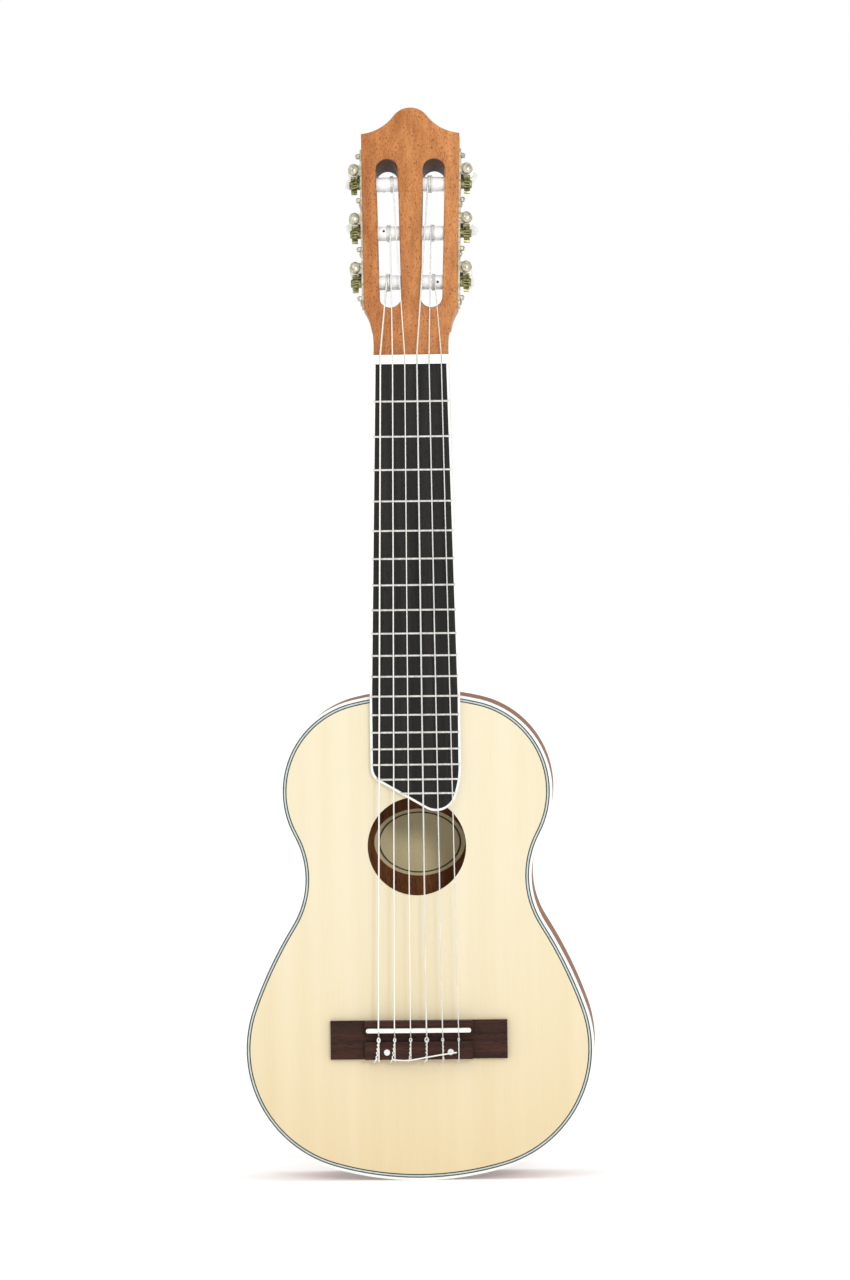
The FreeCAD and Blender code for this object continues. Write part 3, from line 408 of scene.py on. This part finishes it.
def wound():
    finish, tree, shader = start_finish("string_bass", 0.34, metallic=0.55)
    turns = tree.nodes.new("ShaderNodeTexWave")
    turns.bands_direction = "Z"
    turns.inputs["Scale"].default_value = 940.0
    tree.links.new(place(tree), turns.inputs["Vector"])
    wear = speckle(tree, (300, 300, 90), detail=3.0)
    # Painted shade: the colour darkens where the bump dips, in the grooves between turns.
    silver_and_groove_shade = ramp(tree, turns.outputs["Fac"], (0.0, (0.58, 0.57, 0.53)), (0.5, (0.88, 0.87, 0.83)))
    colour_and_sheen(tree, shader, silver_and_groove_shade, wear, 0.28, 0.44)
    emboss(tree, shader, turns.outputs["Fac"], 0.4, 0.0001)
    return finish


finishes["string_treble"] = nylon()
finishes["string_bass"] = wound()
print(len(finishes), "finishes in all")

# %% [markdown]
# The record that came with the measured model says which finish each part takes. Reading that list
# means no part is forgotten, and a part that is added later gets its finish by itself.

# %% Give every measured part its finish
for part in frame["record"]["subparts"]:
    materials = frame["nodes"][part["node"]].data.materials
    materials.clear()
    materials.append(finishes[part["material_slot"]])
frame["nodes"]["headstock"].data.materials[0] = finishes["headstock_mahogany"]
frame["nodes"]["purfling_light_line"].data.materials[0] = finishes["pale_line"]

# %% [markdown]
# On the bridge each string passes under the tie block, comes back over it and is tied to itself.
# The measured model holds the plain loop. Here the spare end is added, which winds round that loop down the
# block. A smooth curve with a round section is the right tool, since a string is a line with a thickness.

# %% Find where each string lies on the tie block
bridge_low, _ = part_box("bridge")
saddle_low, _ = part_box("saddle")
LOOP_DEEP = 4.2 * MM
LOOP_HIGH = 6.0 * MM


def string_on_block(number):
    """The middle of a string's top strand and its radius, measured on the part itself."""
    mesh = frame["nodes"]["string_%d" % number].data
    near = [v.co for v in mesh.vertices
            if v.co.z < bridge_low.z + LOOP_HIGH and v.co.y < bridge_low.y + LOOP_DEEP]
    xs = [v.x for v in near]
    ys = [v.y for v in near]
    radius = (max(xs) - min(xs)) / 2
    return (max(xs) + min(xs)) / 2, min(ys) + radius, radius


on_block = {number: string_on_block(number) for number in STRINGS}
for number, (x, y, radius) in on_block.items():
    print("string", number, "x", round(x / MM, 2), "y", round(y / MM, 2), "radius", round(radius / MM, 2))

# %% Make a length of string from the points that it follows
def string_length(name, points, radius, finish, body="guitar"):
    """A smooth round strand that rides on a body."""
    line = bpy.data.curves.new(name, "CURVE")
    line.dimensions = "3D"
    line.bevel_depth = radius
    line.bevel_resolution = 3
    line.resolution_u = 8
    line.use_fill_caps = True
    spline = line.splines.new("NURBS")
    spline.points.add(len(points) - 1)
    for knot, point in zip(spline.points, points):
        knot.co = (*point, 1.0)
    spline.order_u = 3
    spline.use_endpoint_u = True
    strand = bpy.data.objects.new(name, line)
    bpy.context.scene.collection.objects.link(strand)
    line.materials.append(finishes[finish])
    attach(strand, body)
    return strand


print("string maker ready")

# %% [markdown]
# Each knot is different, as on a guitar strung by hand. The thick strings have a fat hitch just behind
# the saddle, the two middle ones leave an open eye, and the thin ones a small hitch.
# Below it the spare end crosses over the loop from side to side and ends in a short tip at the tail edge.

# %% Tie the six strings
KNOT_LEAN = {1: 0.0, 2: 0.6, 3: -0.3, 4: -1.0, 5: -1.7, 6: -1.7}
KNOT_WIDE = {1: 1.3, 2: 1.3, 3: 1.5, 4: 1.6, 5: 1.7, 6: 1.8}
KNOT_TOP = saddle_low.z - 5.2 * MM
KNOT_TAIL = bridge_low.z - 0.6 * MM
CROSSINGS = 11
EYE_STEPS = 9
PULLED_THIN = 0.85
OPEN_EYES = (3, 4)


def tie_string(number):
    x, y, radius = on_block[number]
    finish = "string_treble" if number <= 3 else "string_bass"
    lean = KNOT_LEAN[number] * MM
    wide = KNOT_WIDE[number] * radius * 0.9
    points = []
    for k in range(CROSSINGS):
        share = k / (CROSSINGS - 1)
        side = 1 if k % 2 else -1
        lift = radius * (1.5 if k % 2 else 0.9)
        points.append((x + lean * share + side * wide, y - lift, KNOT_TOP + (KNOT_TAIL - KNOT_TOP) * share))
    string_length("spare_end_%d" % number, points, radius * PULLED_THIN, finish)
    tip = [(x + lean, y - radius, KNOT_TAIL + 1.6 * MM),
           (x + lean - 1.2 * radius, y - radius, KNOT_TAIL),
           (x + lean - 2.6 * radius, y - radius * 0.6, KNOT_TAIL - 1.1 * MM)]
    string_length("spare_tip_%d" % number, tip, radius * 0.8, finish)
    eye, tall = (2.3, 3.4) if number in OPEN_EYES else (1.7, 2.9)
    ring = []
    for k in range(EYE_STEPS):
        turn = 2 * math.pi * k / (EYE_STEPS - 1)
        ring.append((x + eye * radius * math.sin(turn), y - radius * (1.3 + 0.3 * math.cos(turn)),
                     KNOT_TOP + 0.6 * MM + tall * radius * math.cos(turn)))
    string_length("hitch_%d" % number, ring, radius * PULLED_THIN, finish)


for number in STRINGS:
    tie_string(number)
print("tied", len(STRINGS), "strings")

# %% [markdown]
# One long spare end was never cut short. It lies along the tail edge of the tie block, starts at the foot
# of the fifth string, and rises towards the treble side over the right-hand pearl dot.

# %% Lay the long spare end
LONG_END = [(-1.5, 0.9, 0.4), (4.0, 0.3, -0.4), (11.0, 0.0, -0.1), (20.0, 0.0, 1.6), (31.0, 0.0, 3.4),
            (40.5, 0.3, 4.7)]
LONG_END_RADIUS = 0.52 * MM
fifth_string = on_block[5][0]
clear_of_strings = min(y for _, y, _ in on_block.values()) - 2.1 * MM
long_end = [(fifth_string + across * MM, clear_of_strings + back * MM, bridge_low.z + up * MM)
            for across, back, up in LONG_END]
string_length("long_spare_end", long_end, LONG_END_RADIUS, "string_bass")
print("long end is laid")

# %% [markdown]
# Over the front end of every worm, a tuning machine has a small domed cap of polished nickel. A dome is half
# a ball, so a ball is made, squashed, cut by a plane and closed again. It stays
# on the guitar while the worm turns behind it.

# %% Cap the worms
def mesh_piece(name, shape, finish, body):
    """Turns a finished bmesh into a piece that rides on a body."""
    bmesh.ops.recalc_face_normals(shape, faces=shape.faces)
    mesh = bpy.data.meshes.new(name)
    shape.to_mesh(mesh)
    shape.free()
    for face in mesh.polygons:
        face.use_smooth = True
    piece = bpy.data.objects.new(name, mesh)
    bpy.context.scene.collection.objects.link(piece)
    mesh.materials.append(finishes[finish])
    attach(piece, body)
    return piece


def joint_line(name):
    """Where a joint turns, and the direction of its axis."""
    for joint in frame["joints"]:
        if joint["name"] == name:
            return Vector(joint["pos_m"]), Vector(joint["axis"]).normalized()
    raise ValueError("no joint " + name)


def peg_axis(number):
    """Where a peg turns and the direction of its shaft, towards the back."""
    point, axis = joint_line("turn_%d" % number)
    return point, axis if axis.y > 0 else -axis


def stand_at(point, direction):
    """Moves a shape made round z at the origin to a point, standing along a direction."""
    turn = Vector((0, 0, 1)).rotation_difference(direction).to_matrix().to_4x4()
    return Matrix.Translation(point) @ turn


def along_shaft(number, distance):
    """Stands a shape on a shaft, at a distance behind the worm's front end."""
    point, axis = peg_axis(number)
    low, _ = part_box("worm_%d" % number)
    front = point + axis * ((low.y - point.y) / axis.y)
    return stand_at(front + axis * distance, axis)


CAP_HALF = Vector((3.4, 3.9, 2.4)) * MM
CAP_AHEAD = 0.3 * MM


def cap_worm(number):
    dome = bmesh.new()
    bmesh.ops.create_uvsphere(dome, u_segments=32, v_segments=16, radius=1.0)
    cut = bmesh.ops.bisect_plane(dome, geom=dome.verts[:] + dome.edges[:] + dome.faces[:],
                                 plane_co=(0, 0, 0), plane_no=(0, 0, 1), clear_outer=True)
    rim = [e for e in cut["geom_cut"] if isinstance(e, bmesh.types.BMEdge)]
    bmesh.ops.holes_fill(dome, edges=rim)
    bmesh.ops.scale(dome, vec=CAP_HALF, verts=dome.verts)
    bmesh.ops.transform(dome, matrix=along_shaft(number, -CAP_AHEAD), verts=dome.verts)
    return mesh_piece("worm_cap_%d" % number, dome, "tuner_plate_metal", "guitar")


for number in TUNERS:
    cap_worm(number)
print("capped", len(TUNERS), "worms")

# %% [markdown]
# A few small turned parts finish each machine: a nickel ferrule between the bearing and the button, and
# a little screw in the button's end. Turned parts are spun: half an outline goes once round an axis,
# as on a lathe, and the two ends of the turn are merged.

# %% Turn small parts on a lathe
def turned_piece(name, outline, matrix, finish, body):
    """outline is (radius, height) pairs from axis to axis, in millimetres."""
    part = bmesh.new()
    corners = [part.verts.new((radius * MM, 0, height * MM)) for radius, height in outline]
    for first, second in zip(corners, corners[1:]):
        part.edges.new((first, second))
    bmesh.ops.spin(part, geom=part.verts[:] + part.edges[:], cent=(0, 0, 0), axis=(0, 0, 1),
                   angle=2 * math.pi, steps=32, use_merge=True)
    bmesh.ops.remove_doubles(part, verts=part.verts, dist=0.005 * MM)
    bmesh.ops.transform(part, matrix=matrix, verts=part.verts)
    return mesh_piece(name, part, finish, body)


FERRULE = [(0, 0), (2.3, 0), (2.75, 0.25), (2.75, 0.75), (2.3, 1.0), (0, 1.0)]
END_SCREW = [(0, -0.6), (1.7, -0.6), (1.7, 0.1), (1.45, 0.42), (0.8, 0.62), (0, 0.68)]
FERRULE_BEHIND = 16.8 * MM
END_SCREW_BEHIND = 38.1 * MM
for number in TUNERS:
    turned_piece("button_ferrule_%d" % number, FERRULE, along_shaft(number, FERRULE_BEHIND),
                 "tuner_plate_metal", "peg_%d" % number)
    turned_piece("button_screw_%d" % number, END_SCREW, along_shaft(number, END_SCREW_BEHIND),
                 "worm_steel", "peg_%d" % number)
print("turned", 2 * len(TUNERS), "small parts")

# %% [markdown]
# Every white roller has a small hole that its string goes through. Seen from the front it is a dark
# eye. The roller's own shape is left alone, and a shallow dark plug stands for the hole as painted shade.

# %% Give the rollers their string holes
EYE_ACROSS = 17.6 * MM
EYE_TURN = {1: 12, 2: 150, 3: -125, 4: 100, 5: -6, 6: 205}
ROLLER_RADIUS = 4.8 * MM
EYE = [(0, -0.6), (0.85, -0.6), (0.85, 0.02), (0.7, 0.05), (0, 0.05)]


def roller_eye(number):
    axle, along = joint_line("wind_%d" % number)
    side = 1 if axle.x > 0 else -1
    wound_on = Matrix.Rotation(math.radians(EYE_TURN[number]), 3, along)
    middle = axle + along * ((side * EYE_ACROSS - axle.x) / along.x)
    outwards = wound_on @ -peg_axis(number)[1]
    matrix = stand_at(middle + outwards * ROLLER_RADIUS, outwards)
    # The plug is painted shade: a dark piece where the inside of the hole would be in shade.
    turned_piece("roller_eye_%d" % number, EYE, matrix, "black_line", "capstan_%d" % number)


for number in TUNERS:
    roller_eye(number)
print("rollers have their string holes")

# %% [markdown]
# The side plates end in a turned ornament, a bead on a short neck, and carry a smaller bead between one
# machine and the next. They are cast with the plate, so they stay on the guitar.

# %% Beads on the edge of the side plates
BEAD = [(0, 0), (1.5, 0), (1.75, 0.5), (1.2, 0.9), (1.9, 1.5), (2.0, 2.1), (1.5, 2.8), (0.7, 3.15),
        (0, 3.25)]
BEAD_SPOTS = {"foot": -0.33, "between_low": 0.17, "between_high": 0.67, "crown": 1.12}
BEAD_INSIDE = 3.0 * MM
BEAD_AHEAD = 5.2 * MM
for side, outside, low_peg, high_peg in (("bass", -1, 6, 4), ("treble", 1, 1, 3)):
    low_worm, shaft = peg_axis(low_peg)
    high_worm, _ = peg_axis(high_peg)
    upwards = (high_worm - low_worm).normalized()
    for spot, share in BEAD_SPOTS.items():
        at = low_worm + (high_worm - low_worm) * share - Vector((outside, 0, 0)) * BEAD_INSIDE
        turned_piece("plate_bead_%s_%s" % (side, spot), BEAD, stand_at(at - shaft * BEAD_AHEAD, upwards),
                     "tuner_plate_metal", "guitar")
print("beads on both plates")

# %% [markdown]
# The light is that of a bright catalogue shot: white all round, with hardly a shadow. A white sky gives
# most of it, and two soft lamps give a little shape. The floor is pale and only there to stand on.

# %% Floor and light
FLOOR_RADIUS = 30.0


def pale_floor():
    disc = bmesh.new()
    bmesh.ops.create_circle(disc, cap_ends=True, segments=96, radius=FLOOR_RADIUS)
    mesh = bpy.data.meshes.new("floor")
    disc.to_mesh(mesh)
    disc.free()
    floor = bpy.data.objects.new("floor", mesh)
    bpy.context.scene.collection.objects.link(floor)
    finish, tree, shader = start_finish("pale_floor", 0.9)
    shader.inputs["Emission Color"].default_value = (1, 1, 1, 1)
    shader.inputs["Emission Strength"].default_value = 0.25
    soft = speckle(tree, (6, 6, 6), detail=2.0)
    tree.links.new(ramp(tree, soft, (0.3, 0.88), (0.7, 0.90)), shader.inputs["Base Color"])
    mesh.materials.append(finish)


def soft_lamp(name, place_at, aim, size, watts):
    lamp = bpy.data.lights.new(name, "AREA")
    lamp.size = size
    lamp.energy = watts
    holder = bpy.data.objects.new(name, lamp)
    holder.location = place_at
    holder.rotation_euler = (Vector(aim) - Vector(place_at)).to_track_quat("-Z", "Y").to_euler()
    bpy.context.scene.collection.objects.link(holder)


pale_floor()
soft_lamp("soft_lamp_left", (-1.6, -2.4, 1.9), (0, 0, 0.35), 1.4, 8)
soft_lamp("soft_lamp_right", (0.9, -2.9, 1.1), (0, 0, 0.25), 0.5, 24)
sky = bpy.data.worlds.new("white_sky")
sky.use_nodes = True
sky.node_tree.nodes["Background"].inputs["Color"].default_value = (1, 1, 1, 1)
sky.node_tree.nodes["Background"].inputs["Strength"].default_value = 1.0
bpy.context.scene.world = sky
bpy.context.scene.view_settings.view_transform = "Standard"

print("floor and light are in place")

# %% Camera
CAMERA_PLACE = (0.13792, -4.67178, 0.48151)
CAMERA_TURN = 0.02793
CAMERA_DIP = -0.02793
CAMERA_ROLL = 0.01102
FACING_BACKWARDS = Matrix(((1, 0, 0), (0, 0, -1), (0, 1, 0)))
lens = bpy.data.cameras.new("camera")
lens.lens = 200.0
lens.sensor_width = 36.0
lens.clip_end = 100.0
camera = bpy.data.objects.new("camera", lens)
aim = (Matrix.Rotation(CAMERA_ROLL, 3, "Y") @ Matrix.Rotation(CAMERA_DIP, 3, "X")
       @ Matrix.Rotation(CAMERA_TURN, 3, "Z") @ FACING_BACKWARDS)
camera.matrix_world = Matrix.Translation(CAMERA_PLACE) @ aim.to_4x4()
bpy.context.scene.collection.objects.link(camera)
bpy.context.scene.camera = camera
print("camera looks along", [round(v, 4) for v in aim @ Vector((0, 0, -1))])
